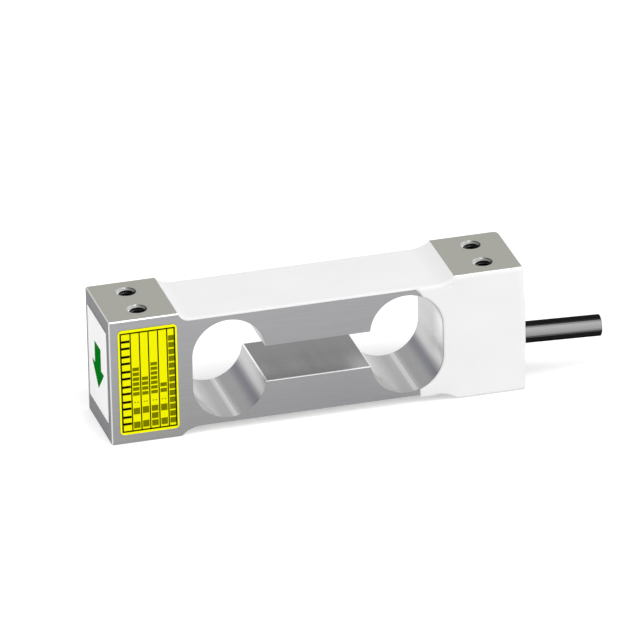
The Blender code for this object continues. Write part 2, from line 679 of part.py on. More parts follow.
def make_labels(yellow, white):
    middle = FREE_END + NAMEPLATE_INSET + NAMEPLATE_LENGTH / 2
    low = (middle - NAMEPLATE_LENGTH / 2, MID_HEIGHT - NAMEPLATE_HEIGHT / 2)
    high = (middle + NAMEPLATE_LENGTH / 2, MID_HEIGHT + NAMEPLATE_HEIGHT / 2)
    plate = prism(rounded_rectangle(low, high, LABEL_CORNER), "Y", FRONT - BOND - LABEL_THICKNESS, FRONT - BOND)
    finish("nameplate", plate, yellow)
    centre = MID_HEIGHT + ARROW_LABEL_RISE
    low = (-ARROW_LABEL_WIDTH / 2, centre - ARROW_LABEL_HEIGHT / 2)
    high = (ARROW_LABEL_WIDTH / 2, centre + ARROW_LABEL_HEIGHT / 2)
    sticker = rounded_rectangle(low, high, ARROW_LABEL_CORNER)
    sides = (FREE_END - BOND - LABEL_THICKNESS, FREE_END - BOND)
    finish("load_direction_label", prism(sticker, "X", *sides), white)


def main():
    clear_scene()
    make_beam(material("aluminium", (0.42, 0.42, 0.40), 0.35, 1.0))
    make_sealant(material("white_silicone", (0.86, 0.86, 0.86), 0.45))
    make_gauges(material("gauge_film", (0.62, 0.36, 0.10), 0.35))
    make_leads(material("lead_enamel", (0.50, 0.16, 0.07), 0.30, 0.6))
    make_board(
        material("board_green", (0.03, 0.18, 0.07), 0.40),
        material("chip_black", (0.02, 0.02, 0.02), 0.35),
    )
    core_surfaces = {
        "red": material("core_red", (0.60, 0.02, 0.02), 0.40),
        "black": material("core_black", (0.02, 0.02, 0.02), 0.40),
        "green": material("core_green", (0.02, 0.30, 0.08), 0.40),
        "white": material("core_white", (0.85, 0.85, 0.83), 0.40),
    }
    make_cable(
        material("jacket_black", (0.012, 0.012, 0.012), 0.30),
        material("shield_tin", (0.60, 0.60, 0.60), 0.35, 1.0),
        material("copper", (0.80, 0.36, 0.20), 0.30, 1.0),
        core_surfaces,
    )
    make_labels(
        material("label_yellow", (0.90, 0.85, 0.01), 0.40),
        material("label_white", (0.88, 0.90, 0.87), 0.40),
    )


main()
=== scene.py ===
"""A single point load cell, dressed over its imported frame.

+X runs from the free end to the cable end, -Y is the labelled front and +Z is up. The origin is under the
cable end, between its two tapped holes. Sizes are in metres.
"""

import math

import bmesh
import bpy
from mathutils import Matrix, Vector


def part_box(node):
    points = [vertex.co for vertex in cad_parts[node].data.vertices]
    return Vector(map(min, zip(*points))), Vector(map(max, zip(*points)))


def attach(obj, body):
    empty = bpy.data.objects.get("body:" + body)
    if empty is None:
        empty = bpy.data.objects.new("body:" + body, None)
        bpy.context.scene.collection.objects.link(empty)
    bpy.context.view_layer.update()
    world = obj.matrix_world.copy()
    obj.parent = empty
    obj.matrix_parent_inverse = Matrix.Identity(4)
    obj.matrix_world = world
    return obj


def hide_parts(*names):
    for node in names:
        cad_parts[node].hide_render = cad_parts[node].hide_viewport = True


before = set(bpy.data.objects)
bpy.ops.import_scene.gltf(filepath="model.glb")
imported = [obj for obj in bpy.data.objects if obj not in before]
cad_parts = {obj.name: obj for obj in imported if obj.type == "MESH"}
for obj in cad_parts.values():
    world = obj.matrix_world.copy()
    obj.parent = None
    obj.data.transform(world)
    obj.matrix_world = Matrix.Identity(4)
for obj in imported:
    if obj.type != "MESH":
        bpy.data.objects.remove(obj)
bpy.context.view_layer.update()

MM = 0.001

# The beam and its coat, from the frame
BEAM_LOW, BEAM_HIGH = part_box("beam")
COAT_LOW, COAT_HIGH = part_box("sealant")
FREE_END = BEAM_LOW.x
CABLE_END = BEAM_HIGH.x
FRONT = BEAM_LOW.y
BACK = BEAM_HIGH.y
TOP = BEAM_HIGH.z
MIDDLE = Vector(((FREE_END + CABLE_END) / 2, (FRONT + BACK) / 2, TOP / 2))
COAT_FRONT = COAT_LOW.y
COAT_END = COAT_HIGH.x - CABLE_END

# The beam's shape, as the solid has it
BLOCK_LENGTH = 11.65 * MM
RECESS_DEPTH = 1.5 * MM
RECESS_FILLET_TOP = 2 * MM
RECESS_FILLET_BOTTOM = 4.8 * MM
EDGE_CHAMFER = 0.2 * MM
OPENING_RADIUS = 6.15 * MM
OPENING_INSET = 20 * MM
FLEXURE = 0.8 * MM
SLOT_HEIGHT = 6.3 * MM
HOLE_INSET = 5.8 * MM
HOLE_PITCH = 7 * MM
FREE_BLOCK = FREE_END + BLOCK_LENGTH
CABLE_BLOCK = CABLE_END - BLOCK_LENGTH
FLOOR_TOP = TOP - RECESS_DEPTH
OPENING_FREE = FREE_END + OPENING_INSET
OPENING_CABLE = CABLE_END - OPENING_INSET
OPENING_STRAIGHT = TOP / 2 - RECESS_DEPTH - FLEXURE - OPENING_RADIUS
SLOT_FLOOR = TOP / 2 - SLOT_HEIGHT / 2
SLOT_LENGTH = OPENING_CABLE - OPENING_FREE - 2 * OPENING_RADIUS

# Coat of sealant
COAT_ON_RECESS = 0.38 * MM
COAT_START = 3.97 * MM
COAT_DRAWN_BACK = 0.1 * MM
COAT_RUN_FREE = 2.75 * MM
COAT_RUN_CABLE = 3.5 * MM
COAT_RUN_BELOW = 4.3 * MM
COAT_MARGIN = 0.08 * MM
COAT_ROUNDING = 0.28 * MM
COAT_ROUNDING_SHARE = 0.8
COAT_SHOULDER = 0.55 * MM
COAT_SHOULDER_TURN = 7
COAT_CORNER = 0.8 * MM
COAT_SINK = 0.5 * MM
COAT_KEY = 0.45 * MM
COAT_BLEND = 0.25 * MM
COAT_EDGE_BELOW = 0.1 * MM
COAT_INSET_BELOW = 1 * MM
COAT_HEM = 0.2 * MM
COAT_OVER_CHAMFER = 0.06 * MM
COAT_TOP = TOP - EDGE_CHAMFER + COAT_OVER_CHAMFER
COAT_LEFT = OPENING_CABLE + OPENING_RADIUS - COAT_START - COAT_DRAWN_BACK
VOXEL = 0.165 * MM
SMOOTHING_STEPS = 6
SMOOTHING_SHARE = 0.5

# Mound of sealant round the cable on the end face, and the rounded upright edge beside it
CABLE_HEIGHT = 8.3 * MM
MOUND_LOW = CABLE_HEIGHT - 2.2 * MM
MOUND_HIGH = CABLE_HEIGHT + 9.6 * MM
MOUND_DEPTH = 8.8 * MM
MOUND_CORNER = 2 * MM
MOUND_SLOPE = 1.6 * MM
UPRIGHT_ROUNDING = 1.1 * MM
UPRIGHT_FILM = 0.04 * MM
UPRIGHT_SKIN = 0.22 * MM
UPRIGHT_LOW = 7 * MM

# M3 thread
THREAD_PITCH = 0.5 * MM
THREAD_MAJOR = 3 * MM
THREAD_MINOR = 2.46 * MM
THREAD_DEPTH = 4.5 * MM
THREAD_START = 0.3 * MM
THREAD_ROOT_SINK = 0.05 * MM

# Print on the nameplate: a ruled frame inside a plain margin, with rows of plain blocks in its columns
PRINT_HEIGHT = 0.012 * MM
PRINT_MARGIN_SIDE = 0.3 * MM
PRINT_MARGIN_END = 0.42 * MM
FRAME_LINE = 0.26 * MM
DIVIDER_LINE = 0.2 * MM
# Where the dividers stand, as shares of the frame's width
COLUMNS = (0, 0.19, 0.355, 0.515, 0.685, 0.85, 1)
# The rows, as shares of the frame's height from its top:
# (column, first block, pitch, blocks, height of a block, share of the column's width)
BLOCKS = (
    (1, 0.076, 0.152, 6, 0.092, 0.84),
    (2, 0.359, 0.0495, 6, 0.034, 0.70),
    (2, 0.765, 0.140, 2, 0.064, 0.72),
    (3, 0.461, 0.0490, 4, 0.034, 0.70),
    (3, 0.760, 0.140, 2, 0.066, 0.72),
    (4, 0.327, 0.0470, 7, 0.032, 0.70),
    (4, 0.760, 0.074, 3, 0.058, 0.70),
    (5, 0.545, 0.0570, 2, 0.038, 0.70),
    (5, 0.760, 0.140, 2, 0.066, 0.70),
    (6, 0.080, 0.069, 13, 0.053, 0.72),
)
# Blocks in this column are heavy: two stripes, each this share of the block's height
HEAVY_COLUMN = 1
HEAVY_STRIPE = 0.26
# A pair of dots in each of the inner columns: height, distance from the column's middle and size
DOT_PLACE = 0.709
DOT_SPREAD = 0.15
DOT_SIZE = 0.2 * MM

# Arrow on the other label: heights over the floor, widths, and how far it is off the label's middle
ARROW_TIP = 7.15 * MM
ARROW_SHOULDER = 11 * MM
ARROW_TAIL = 14.85 * MM
ARROW_SHAFT = 3.9 * MM
ARROW_HEAD = 7.6 * MM
ARROW_SHIFT = -0.15 * MM

# How finely the curves are divided, and the angle from which an edge stays sharp
STATION_STEPS = 14
ARC_STEPS = 6
RIM_STEPS = 18
THREAD_STEPS = 36
SHARP_ANGLE = math.radians(40)

# Studio
FLOOR_SIZE = 6
FLOOR_GAP = 0.01 * MM
FLOOR_GLOW = 0.4
SKY_DIFFUSE = 0.65
# Lamps: name, azimuth and elevation in degrees, distance, side of the square, power in watts
LAMPS = (
    ("right", 60, 25, 0.6, 0.25, 1.06),
    ("left", -60, 25, 0.6, 0.25, 0.64),
    ("top", 10, 68, 0.7, 0.22, 1.07),
)

# Camera, as the photograph was taken; the sensor and the lens are in millimetres, as Blender has them
SENSOR = 36
FOCAL_LENGTH = 638.33
CLIP_START = 0.1
CLIP_END = 20
AZIMUTH = math.radians(-14.98)
ELEVATION = math.radians(24.92)
ROLL = math.radians(-1.36)
DISTANCE = 1.85497
SUBJECT_LEFT = 2.31 * MM
SUBJECT_DOWN = 2.90 * MM


# Outlines and meshes


def arc(centre, radius, start, end, steps=ARC_STEPS):
    """Points on an arc in a flat outline, from one angle to another in degrees."""
    points = []
    for step in range(steps + 1):
        angle = math.radians(start + (end - start) * step / steps)
        points.append((centre[0] + radius * math.cos(angle), centre[1] + radius * math.sin(angle)))
    return points


def stations(first, last, steps):
    """Evenly spaced places from the first to the last."""
    return [first + (last - first) * step / steps for step in range(steps + 1)]


def rectangle(left, bottom, right, top):
    return [(left, bottom), (right, bottom), (right, top), (left, top)]


def add_loft(bm, rings):
    """A closed solid through rings of the same number of points."""
    loops = [[bm.verts.new(point) for point in ring] for ring in rings]
    for first, second in zip(loops, loops[1:]):
        for index in range(len(first)):
            after = (index + 1) % len(first)
            bm.faces.new((first[index], first[after], second[after], second[index]))
    bm.faces.new(loops[0])
    bm.faces.new(loops[-1])


def add_panel(bm, outline, front, back):
    """A flat plate that faces the front, from its (x, z) outline."""
    add_loft(bm, [[(x, y, z) for x, z in outline] for y in (front, back)])


def finish_mesh(name, bm, material, replaces=()):
    """Makes a piece that rides on the part's one body."""
    bmesh.ops.recalc_face_normals(bm, faces=bm.faces)
    mesh = bpy.data.meshes.new(name)
    bm.to_mesh(mesh)
    bm.free()
    mesh.shade_smooth()
    mesh.set_sharp_from_angle(angle=SHARP_ANGLE)
    piece = bpy.data.objects.new(name, mesh)
    bpy.context.scene.collection.objects.link(piece)
    mesh.materials.append(material)
    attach(piece, "root")
    for node in replaces:
        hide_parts(node)
    return piece


def apply_modifiers(piece):
    graph = bpy.context.evaluated_depsgraph_get()
    mesh = bpy.data.meshes.new_from_object(piece.evaluated_get(graph))
    piece.modifiers.clear()
    piece.data = mesh
    mesh.shade_smooth()


# Materials


class Tree:
    """A node tree, with short calls for the nodes used here.

    A mask is a number that is 1 on one part of a surface and 0 elsewhere.
    """

    def __init__(self, tree):
        self.tree = tree

    def add(self, kind, **values):
        node = self.tree.nodes.new(kind)
        for key, value in values.items():
            setattr(node, key, value)
        return node

    def join(self, source, target):
        self.tree.links.new(source, target)

    def feed(self, socket, value):
        """Links a node's output to a socket, or sets a plain value on it."""
        if isinstance(value, bpy.types.NodeSocket):
            self.join(value, socket)
        else:
            socket.default_value = value

    def math(self, operation, first, second=0.0):
        node = self.add("ShaderNodeMath", operation=operation)
        self.feed(node.inputs[0], first)
        self.feed(node.inputs[1], second)
        return node.outputs[0]

    def plus(self, first, second):
        return self.math("ADD", first, second)

    def times(self, first, second):
        """A product; of two masks, it is 1 where both are."""
        return self.math("MULTIPLY", first, second)

    def larger(self, first, second):
        """The larger number; of two masks, it is 1 where either is."""
        return self.math("MAXIMUM", first, second)

    def above(self, value, limit):
        return self.math("GREATER_THAN", value, limit)

    def below(self, value, limit):
        return self.math("LESS_THAN", value, limit)

    def away(self, value, centre=0.0):
        """How far a value is from a centre, to either side."""
        return self.math("ABSOLUTE", self.math("SUBTRACT", value, centre))

    def within(self, value, centre, half_width):
        return self.below(self.away(value, centre), half_width)

    def mix(self, factor, first, second):
        node = self.add("ShaderNodeMix", data_type="RGBA")
        self.feed(node.inputs[0], factor)
        self.feed(node.inputs[6], first)
        self.feed(node.inputs[7], second)
        return node.outputs[2]

    def fade(self, value, start, end, low, high, kind="LINEAR"):
        """Takes a value's range from start to end to the range from low to high."""
        node = self.add("ShaderNodeMapRange", interpolation_type=kind)
        self.join(value, node.inputs[0])
        for socket, number in zip(node.inputs[1:5], (start, end, low, high)):
            socket.default_value = number
        return node.outputs[0]

    def direct_rays(self):
        """1 for what the camera sees directly, in gloss or through glass, and 0 for any other light."""
        seen = self.add("ShaderNodeLightPath").outputs
        shown = self.larger(seen["Is Camera Ray"], seen["Is Glossy Ray"])
        return self.larger(shown, seen["Is Transmission Ray"])


class Nodes(Tree):
    """A material's node tree, with its shader and the place on the object."""

    def __init__(self, name):
        self.material = bpy.data.materials.new(name)
        self.material.use_nodes = True
        super().__init__(self.material.node_tree)
        self.shader = self.tree.nodes["Principled BSDF"]
        self.place = self.add("ShaderNodeTexCoord").outputs["Object"]

    def split(self, vector):
        """The x, y and z of a vector."""
        node = self.add("ShaderNodeSeparateXYZ")
        self.join(vector, node.inputs[0])
        return node.outputs

    def facing(self):
        """The x, y and z of the surface's own normal."""
        return self.split(self.add("ShaderNodeNewGeometry").outputs["Normal"])

    def noise(self, grain, detail=2.0):
        """Noise with this many cells in a metre along each axis."""
        stretched = self.add("ShaderNodeVectorMath", operation="MULTIPLY")
        self.join(self.place, stretched.inputs[0])
        stretched.inputs[1].default_value = grain
        node = self.add("ShaderNodeTexNoise")
        self.join(stretched.outputs[0], node.inputs["Vector"])
        node.inputs["Scale"].default_value = 1
        node.inputs["Detail"].default_value = detail
        return node.outputs["Fac"]

    def spread(self, noise, low, high):
        """Takes a noise's usual spread, about 0.3 to 0.7, to the range from low to high."""
        return self.fade(noise, 0.3, 0.7, low, high)

    def blend(self, noise, dark, light):
        """A colour that wanders between two with a noise."""
        return self.mix(self.spread(noise, 0, 1), dark, light)

    def ramp(self, factor, stops):
        node = self.add("ShaderNodeValToRGB")
        elements = node.color_ramp.elements
        while len(elements) < len(stops):
            elements.new(0.5)
        for element, (position, colour) in zip(elements, stops):
            element.position = position
            element.color = colour
        self.join(factor, node.inputs[0])
        return node.outputs[0]

    def scaled(self, colour, factor):
        """A colour times a number."""
        node = self.add("ShaderNodeVectorMath", operation="SCALE")
        self.feed(node.inputs[0], colour)
        self.feed(node.inputs["Scale"], factor)
        return node.outputs[0]

    def bump(self, height, depth, strength=1.0):
        node = self.add("ShaderNodeBump")
        self.join(height, node.inputs["Height"])
        node.inputs["Distance"].default_value = depth
        node.inputs["Strength"].default_value = strength
        self.join(node.outputs[0], self.shader.inputs["Normal"])

    def set(self, **values):
        """Feeds the shader's sockets, named with underscores for spaces."""
        for key, value in values.items():
            self.feed(self.shader.inputs[key.replace("_", " ")], value)


def grey(level, warm=0.0):
    """A grey, and how far it leans to yellow (or to blue, below 0)."""
    return (level * (1 + warm / 2), level * (1 + warm / 2), level * (1 - warm), 1)


WHITE = grey(1.0)
BLACK = grey(0.0)

# Grain of each surface: how many cells of noise lie in a metre along each axis
BRUSHED_GRAIN = (150, 9000, 9000)
DRAWN_GRAIN = (420, 25, 420)
SATIN_GRAIN = (5200, 5200, 5200)
MILLED_WAVES = (90, 90, 90)
THREAD_GRAIN = (1500, 1500, 1500)
SILICONE_GRAIN = (1800, 1800, 1800)
SILICONE_WAVES = (110, 150, 150)
FOIL_GRAIN = (4000, 4000, 4000)
FOIL_WAVES = (260, 260, 90)
INK_GRAIN = (2500, 2500, 2500)
JACKET_LINES = (60, 5000, 5000)
PAPER_GRAIN = (600, 600, 600)
SPECKLE_GRAIN = 1500
SPECKLE_WAVES = 125

# Roughness of each surface, from its smoothest spot to its roughest
BRUSHED_ROUGHNESS = (0.30, 0.42)
DRAWN_ROUGHNESS = (0.24, 0.34)
SATIN_ROUGHNESS = (0.54, 0.62)
THREAD_ROUGHNESS = (0.22, 0.30)
SILICONE_ROUGHNESS = (0.38, 0.50)
FOIL_ROUGHNESS = (0.38, 0.46)
INK_ROUGHNESS = (0.60, 0.70)
JACKET_ROUGHNESS = (0.36, 0.42)
PAPER_ROUGHNESS = 0.9

# Depth of each surface's relief, and how strongly it shows
METAL_RELIEF = (0.002 * MM, 0.35)
SILICONE_RELIEF = (0.03 * MM, 0.35)
FOIL_RELIEF = (0.02 * MM, 0.3)
INK_RELIEF = (0.002 * MM, 0.3)
JACKET_RELIEF = (0.01 * MM, 0.3)
SPECKLE_RELIEF = 0.004 * MM
WOUND_RELIEF = 0.02 * MM

# Tones, dark and light
# The sides, darker at the foot and lighter at the top as painted shade
SIDE_TONES = (grey(0.288, -0.02), grey(0.338, -0.02))
# The ends, darker than the sides as painted shade
END_TONES = (grey(0.20, -0.04), grey(0.22, -0.04))
SATIN_TONES = (grey(0.355, 0.065), grey(0.39, 0.06))
# The slot's floor, darker than the level faces as painted shade
SLOT_SHADE_TONES = (grey(0.208), grey(0.216))
# Painted light and shade in the tapped holes and on their threads
HOLE_LIGHT_AND_SHADE = (grey(0.06), grey(0.55))
THREAD_LIGHT_AND_SHADE = (grey(0.15), grey(0.75))
PALE_TONES = (grey(0.82), grey(0.84))
JACKET_TONES = (grey(0.008), grey(0.014))
# Painted highlight on the slot's lip
LIP_HIGHLIGHT = grey(0.85)
# Painted highlight on the chamfers
EDGE_HIGHLIGHT = grey(0.62)

# Sides of the beam: painted shade, lighter towards the top and darker towards the cable end, with fine
# scratches
SIDE_AT_CABLE = 0.92
SCRATCH_TONE = grey(0.12)
SCRATCH_SHARE = 0.08

# How far a surface's normal points sideways, endways or up where it counts as a side, an end or level
SIDE_FACING = 0.6
END_FACING = 0.9
LEVEL_FACING = 0.95

# Walls of the cut-out: how far outside its outline they are looked for, and how far drawn lines shade them
WALL_REACH = 0.2 * MM
WALL_STREAKS = (0.98, 1.02)
# Their tone round the lower half, painted reflections of the studio by the way the wall faces: (degrees
# from +X round to the foot at 270, level, warmth)
WALL_FOOT = 270
WALL_REFLECTION_TONES = (
    (182, 0.50, 0.03),
    (206, 0.50, 0.02),
    (224, 0.57, 0.03),
    (250, 0.46, 0.00),
    (263, 0.385, 0.00),
    (273, 0.40, 0.00),
    (279, 0.66, 0.00),
    (285, 0.36, 0.00),
    (291, 0.31, 0.00),
    (304, 0.31, 0.00),
    (315, 0.20, -0.12),
    (321, 0.19, -0.10),
    (327, 0.30, -0.03),
    (332, 0.455, 0.00),
    (340, 0.50, 0.00),
    (353, 0.48, 0.00),
)
# Painted reflection on the walls that face down
CEILING_TONE = grey(0.35)
# Turn of the painted reflection bands in the cable end's opening against those in the free end's
CABLE_TURN = 5 / 360
# Walls with painted light that makes them lighter towards the front: how much, from what depth, and between
# which directions
LEFT_LIFT = 1.15
LEFT_LIFT_DEPTH = 5 * MM
LEFT_FACING = (0.2, 0.7)
RIGHT_LIFT = 0.75
RIGHT_LIFT_DEPTH = 7 * MM
RIGHT_FACING = (-0.92, -1.0)

# The slot's floor: how many times lighter at the front as painted light, and its rim and lip, painted as
# highlights
SLOT_LIFT = 1.75
SLOT_LIFT_DEPTH = 8 * MM
SLOT_RIM = 0.22 * MM
SLOT_RIM_FREE = 0.25 * MM
SLOT_RIM_CABLE = 0.08 * MM
SLOT_LIP = 0.12 * MM

# Share of a chamfer's width that gets a painted highlight, on its upper side and on its upright sides
HIGHLIGHT_ABOVE = 0.75
HIGHLIGHT_ASIDE = 0.96
# A spot is on a chamfer where it is near more outer faces than this
EDGE_COUNT = 1.5

# Tapped holes: a radius that takes in their mouths, and the depths where painted light ends and painted
# shade begins
HOLE_RIM = 1.72 * MM
HOLE_LIT = 0.6 * MM
HOLE_DARK = 1.4 * MM
# In a hole, a surface is the wall where its normal points up or down by less than this
HOLE_WALL_FACING = 0.9
# How far towards the cable end a wall faces where its painted light is full, and as far away from it where
# it is painted dark
HOLE_FACING = 0.5

# Silicone, foil, ink and jacket
SILICONE_GLOSS = 0.3
SILICONE_FINE_SHARE = 0.15
SILICONE_DEPTH = 0.4 * MM
SILICONE_SCATTER = 0.08
YELLOW_GLOSS = 0.03
WHITE_GLOSS = 0.2
INK_GLOSS = 0.0
INK_SHARE = 0.08
JACKET_IOR = 3.8
JACKET_FADE = (0.01, 0.22)
CUT_FACING = 0.8

# Speckled materials: how far the grain and the broad waves shade the colour, and the waves the roughness
SPECKLE_SHADE = (0.88, 1.12)
SPECKLE_WAVE_SHADE = (0.96, 1.04)
SPECKLE_ROUGHNESS = 0.06


class Spot:
    """A spot on the beam: its place, the way it faces, and masks for the parts of the beam."""

    def __init__(self, nodes):
        self.x, self.y, self.z = nodes.split(nodes.place)
        self.facing_x, self.facing_y, self.facing_z = nodes.facing()
        self.from_middle = nodes.away(self.x, MIDDLE.x)
        self.in_cable_half = nodes.above(self.x, MIDDLE.x)
        self.on_side = nodes.above(nodes.away(self.facing_y), SIDE_FACING)
        self.on_end = nodes.above(nodes.away(self.facing_x), END_FACING)
        along = nodes.below(self.from_middle, SLOT_LENGTH / 2 + 2 * OPENING_RADIUS + WALL_REACH)
        upward = nodes.within(self.z, TOP / 2, OPENING_STRAIGHT + OPENING_RADIUS + WALL_REACH)
        inner = nodes.math("SUBTRACT", 1.0, self.on_side)
        self.in_cut_out = nodes.times(nodes.times(along, upward), inner)
        level = nodes.above(nodes.away(self.facing_z), LEVEL_FACING)
        between = nodes.below(self.from_middle, SLOT_LENGTH / 2 + WALL_REACH / 2)
        self.on_slot = nodes.times(nodes.times(level, between), self.in_cut_out)


def side_tone(nodes, spot, brushed):
    # Painted shade: lighter towards the top and darker towards the cable end
    tone = nodes.mix(nodes.fade(spot.z, 0, TOP, 0, 1), *SIDE_TONES)
    tone = nodes.scaled(tone, nodes.fade(spot.x, FREE_END, CABLE_END, 1.0, SIDE_AT_CABLE))
    return nodes.mix(nodes.spread(brushed, 0, SCRATCH_SHARE), tone, SCRATCH_TONE)


def wall_reflection_bands():
    """Stops of a ramp of painted reflections by the way a wall faces: 0.5 is straight up, and both 0 and 1
    are straight down.
    """
    bands = []
    for angle, level, warm in WALL_REFLECTION_TONES:
        bands.append((0.5 + (WALL_FOOT - angle) / 360, grey(level, warm)))
    return [(0.0, CEILING_TONE), *sorted(bands), (1.0, CEILING_TONE)]


def front_painted_light(nodes, spot, facing, depth, lift):
    """How much painted light makes a wall that faces one way lighter towards the front."""
    wall = nodes.fade(spot.facing_x, *facing, 0.0, 1.0)
    return nodes.times(wall, nodes.fade(spot.y, FRONT, FRONT + depth, lift, 0.0, "SMOOTHSTEP"))


def wall_tone(nodes, spot, drawn):
    """Painted reflections as bands through the openings, each where the surface's own normal points to one
    side, with painted light towards the front.
    """
    angle = nodes.math("ARCTAN2", spot.facing_x, spot.facing_z)
    turn = nodes.plus(nodes.math("DIVIDE", angle, math.tau), 0.5)
    turn = nodes.plus(turn, nodes.times(spot.in_cable_half, CABLE_TURN))
    tone = nodes.scaled(nodes.ramp(turn, wall_reflection_bands()), nodes.spread(drawn, *WALL_STREAKS))
    left = front_painted_light(nodes, spot, LEFT_FACING, LEFT_LIFT_DEPTH, LEFT_LIFT)
    right = front_painted_light(nodes, spot, RIGHT_FACING, RIGHT_LIFT_DEPTH, RIGHT_LIFT)
    lift = nodes.larger(left, nodes.times(right, spot.in_cable_half))
    return nodes.scaled(tone, nodes.plus(lift, 1.0))


def slot_tone(nodes, spot, drawn):
    # Painted shade in the slot, lighter towards its open front
    lift = nodes.fade(spot.y, FRONT, FRONT + SLOT_LIFT_DEPTH, SLOT_LIFT, 1.0, "SMOOTHSTEP")
    return nodes.scaled(nodes.blend(drawn, *SLOT_SHADE_TONES), lift)


def in_hole(nodes, spot):
    """The walls and the bottom of the tapped holes."""
    off_x = nodes.math("SUBTRACT", spot.from_middle, (CABLE_END - FREE_END) / 2 - HOLE_INSET)
    off_y = nodes.math("SUBTRACT", nodes.away(spot.y), HOLE_PITCH / 2)
    off = nodes.plus(nodes.times(off_x, off_x), nodes.times(off_y, off_y))
    wall = nodes.below(nodes.away(spot.facing_z), HOLE_WALL_FACING)
    deep = nodes.within(spot.z, TOP / 2, TOP / 2 - HOLE_LIT)
    return nodes.times(nodes.below(off, HOLE_RIM**2), nodes.larger(wall, deep))


def hole_tone(nodes, facing_x, z, tones):
    """Painted light near the hole's mouth, on the wall that faces the cable end, and painted shade in the
    depth.
    """
    mouth = nodes.fade(nodes.away(z, TOP / 2), TOP / 2 - HOLE_DARK, TOP / 2 - HOLE_LIT, 0.0, 1.0)
    lit = nodes.times(nodes.fade(facing_x, -HOLE_FACING, HOLE_FACING, 0.0, 1.0), mouth)
    return nodes.mix(lit, *tones)


def edge_highlight(nodes, spot):
    """The chamfers that get a painted highlight, apart from those underneath: near two of the outer faces
    at once.
    """
    near = nodes.above(spot.z, TOP - HIGHLIGHT_ABOVE * EDGE_CHAMFER)
    for value, low, high in ((spot.x, FREE_END, CABLE_END), (spot.y, FRONT, BACK)):
        limit = (high - low) / 2 - HIGHLIGHT_ASIDE * EDGE_CHAMFER
        near = nodes.plus(near, nodes.above(nodes.away(value, (low + high) / 2), limit))
    return nodes.above(near, EDGE_COUNT)


def slot_rim_highlight(nodes, spot):
    """The rim of the slot's floor, along the front and at both ends, where a highlight is painted."""
    along_front = nodes.below(spot.y, FRONT + SLOT_RIM)
    at_free = nodes.below(spot.x, MIDDLE.x - SLOT_LENGTH / 2 + SLOT_RIM_FREE)
    at_cable = nodes.above(spot.x, MIDDLE.x + SLOT_LENGTH / 2 - SLOT_RIM_CABLE)
    return nodes.times(nodes.larger(along_front, nodes.larger(at_free, at_cable)), spot.on_slot)


def slot_lip_highlight(nodes, spot):
    """The same painted highlight where the rim turns down over the front."""
    under_rim = nodes.times(nodes.within(spot.z, SLOT_FLOOR - SLOT_LIP / 2, SLOT_LIP / 2), spot.on_side)
    return nodes.times(under_rim, nodes.below(spot.from_middle, SLOT_LENGTH / 2))


def aluminium():
    """Brushed sides and ends, satin level faces, drawn lines in the openings, and bright edges; painted
    shade and light on the sides, ends, slot and holes, painted reflections in the openings and painted
    highlights on the edges.
    """
    nodes = Nodes("aluminium")
    spot = Spot(nodes)
    brushed = nodes.noise(BRUSHED_GRAIN, 3)
    drawn = nodes.noise(DRAWN_GRAIN)
    satin = nodes.noise(SATIN_GRAIN, 1)
    colour = nodes.mix(spot.on_side, nodes.blend(satin, *SATIN_TONES), side_tone(nodes, spot, brushed))
    colour = nodes.mix(spot.on_end, colour, nodes.blend(brushed, *END_TONES))
    colour = nodes.mix(spot.in_cut_out, colour, wall_tone(nodes, spot, drawn))
    colour = nodes.mix(spot.on_slot, colour, slot_tone(nodes, spot, drawn))
    colour = nodes.mix(in_hole(nodes, spot), colour, hole_tone(nodes, spot.facing_x, spot.z, HOLE_LIGHT_AND_SHADE))
    # Painted highlights on the slot's rim and lip
    colour = nodes.mix(slot_rim_highlight(nodes, spot), colour, WHITE)
    colour = nodes.mix(slot_lip_highlight(nodes, spot), colour, LIP_HIGHLIGHT)
    # Painted highlights on the chamfers
    colour = nodes.mix(edge_highlight(nodes, spot), colour, EDGE_HIGHLIGHT)
    outside = nodes.mix(
        spot.on_side, nodes.spread(satin, *SATIN_ROUGHNESS), nodes.spread(brushed, *BRUSHED_ROUGHNESS)
    )
    roughness = nodes.mix(spot.in_cut_out, outside, nodes.spread(drawn, *DRAWN_ROUGHNESS))
    nodes.set(Base_Color=colour, Roughness=roughness, Metallic=1.0)
    relief = nodes.mix(spot.on_side, nodes.mix(spot.in_cut_out, satin, drawn), brushed)
    nodes.bump(nodes.plus(relief, nodes.noise(MILLED_WAVES)), *METAL_RELIEF)
    return nodes.material


def thread_metal():
    """Cut crests of the threads, with the holes' painted light and shade."""
    nodes = Nodes("thread_metal")
    z = nodes.split(nodes.place)[2]
    fine = nodes.noise(THREAD_GRAIN)
    colour = hole_tone(nodes, nodes.facing()[0], z, THREAD_LIGHT_AND_SHADE)
    nodes.set(Base_Color=colour, Roughness=nodes.spread(fine, *THREAD_ROUGHNESS), Metallic=1.0)
    nodes.bump(fine, METAL_RELIEF[0])
    return nodes.material


def silicone():
    """Cured white silicone, semi-gloss and a little wavy."""
    nodes = Nodes("white_silicone")
    fine = nodes.noise(SILICONE_GRAIN)
    waves = nodes.noise(SILICONE_WAVES, 3)
    nodes.set(Base_Color=nodes.blend(waves, *PALE_TONES))
    nodes.set(Roughness=nodes.spread(waves, *SILICONE_ROUGHNESS))
    nodes.set(Specular_IOR_Level=SILICONE_GLOSS, Subsurface_Weight=SILICONE_SCATTER)
    nodes.set(Subsurface_Radius=(SILICONE_DEPTH,) * 3, Subsurface_Scale=1)
    nodes.bump(nodes.plus(nodes.times(fine, SILICONE_FINE_SHARE), waves), *SILICONE_RELIEF)
    return nodes.material


